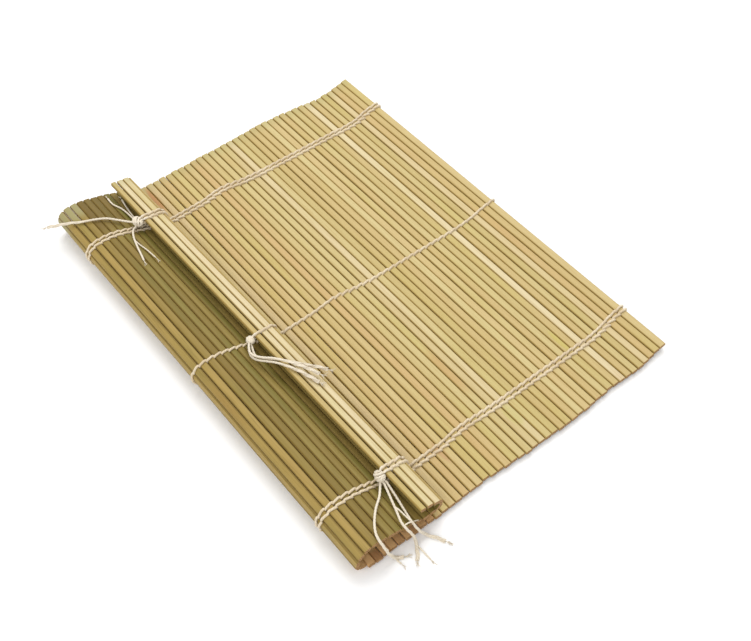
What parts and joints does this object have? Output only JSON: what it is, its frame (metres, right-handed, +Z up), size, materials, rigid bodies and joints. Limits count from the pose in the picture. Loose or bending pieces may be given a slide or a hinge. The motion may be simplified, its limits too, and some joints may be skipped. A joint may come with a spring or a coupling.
{
  "type": "sushi rolling mat, folded over with a curled end",
  "caption": "Square mat of thin bamboo slats twined together with cotton lines, lying with its knotted end folded over and curled back.",
  "frame": {"origin": "middle of the underside, without the free twine ends", "axes": "+X across the slats towards the plain edge, +Y along the slats, +Z up"},
  "size_m": [0.1873, 0.2513, 0.0187],
  "materials": {
    "bamboo": "bare split bamboo, pale inside and olive on the skin side",
    "cotton": "matt twisted cotton"
  },
  "bodies": {
    "root": {"slat_sheet": "bamboo", "twine_far_a_flat": "cotton", "twine_far_a_skin": "cotton", "twine_far_a_pale": "cotton", "twine_far_b_flat": "cotton", "twine_far_b_skin": "cotton", "twine_far_b_pale": "cotton", "twine_middle_flat": "cotton", "twine_middle_skin": "cotton", "twine_middle_pale": "cotton", "twine_near_a_flat": "cotton", "twine_near_a_skin": "cotton", "twine_near_a_pale": "cotton", "twine_near_b_flat": "cotton", "twine_near_b_skin": "cotton", "twine_near_b_pale": "cotton", "knot_far": "cotton", "knot_middle": "cotton", "knot_near": "cotton", "tail_far": "cotton", "tail_middle_1": "cotton", "tail_middle_2": "cotton", "tail_middle_3": "cotton", "tail_near_1": "cotton", "tail_near_2": "cotton", "tail_near_3": "cotton"}
  },
  "joints": []
}
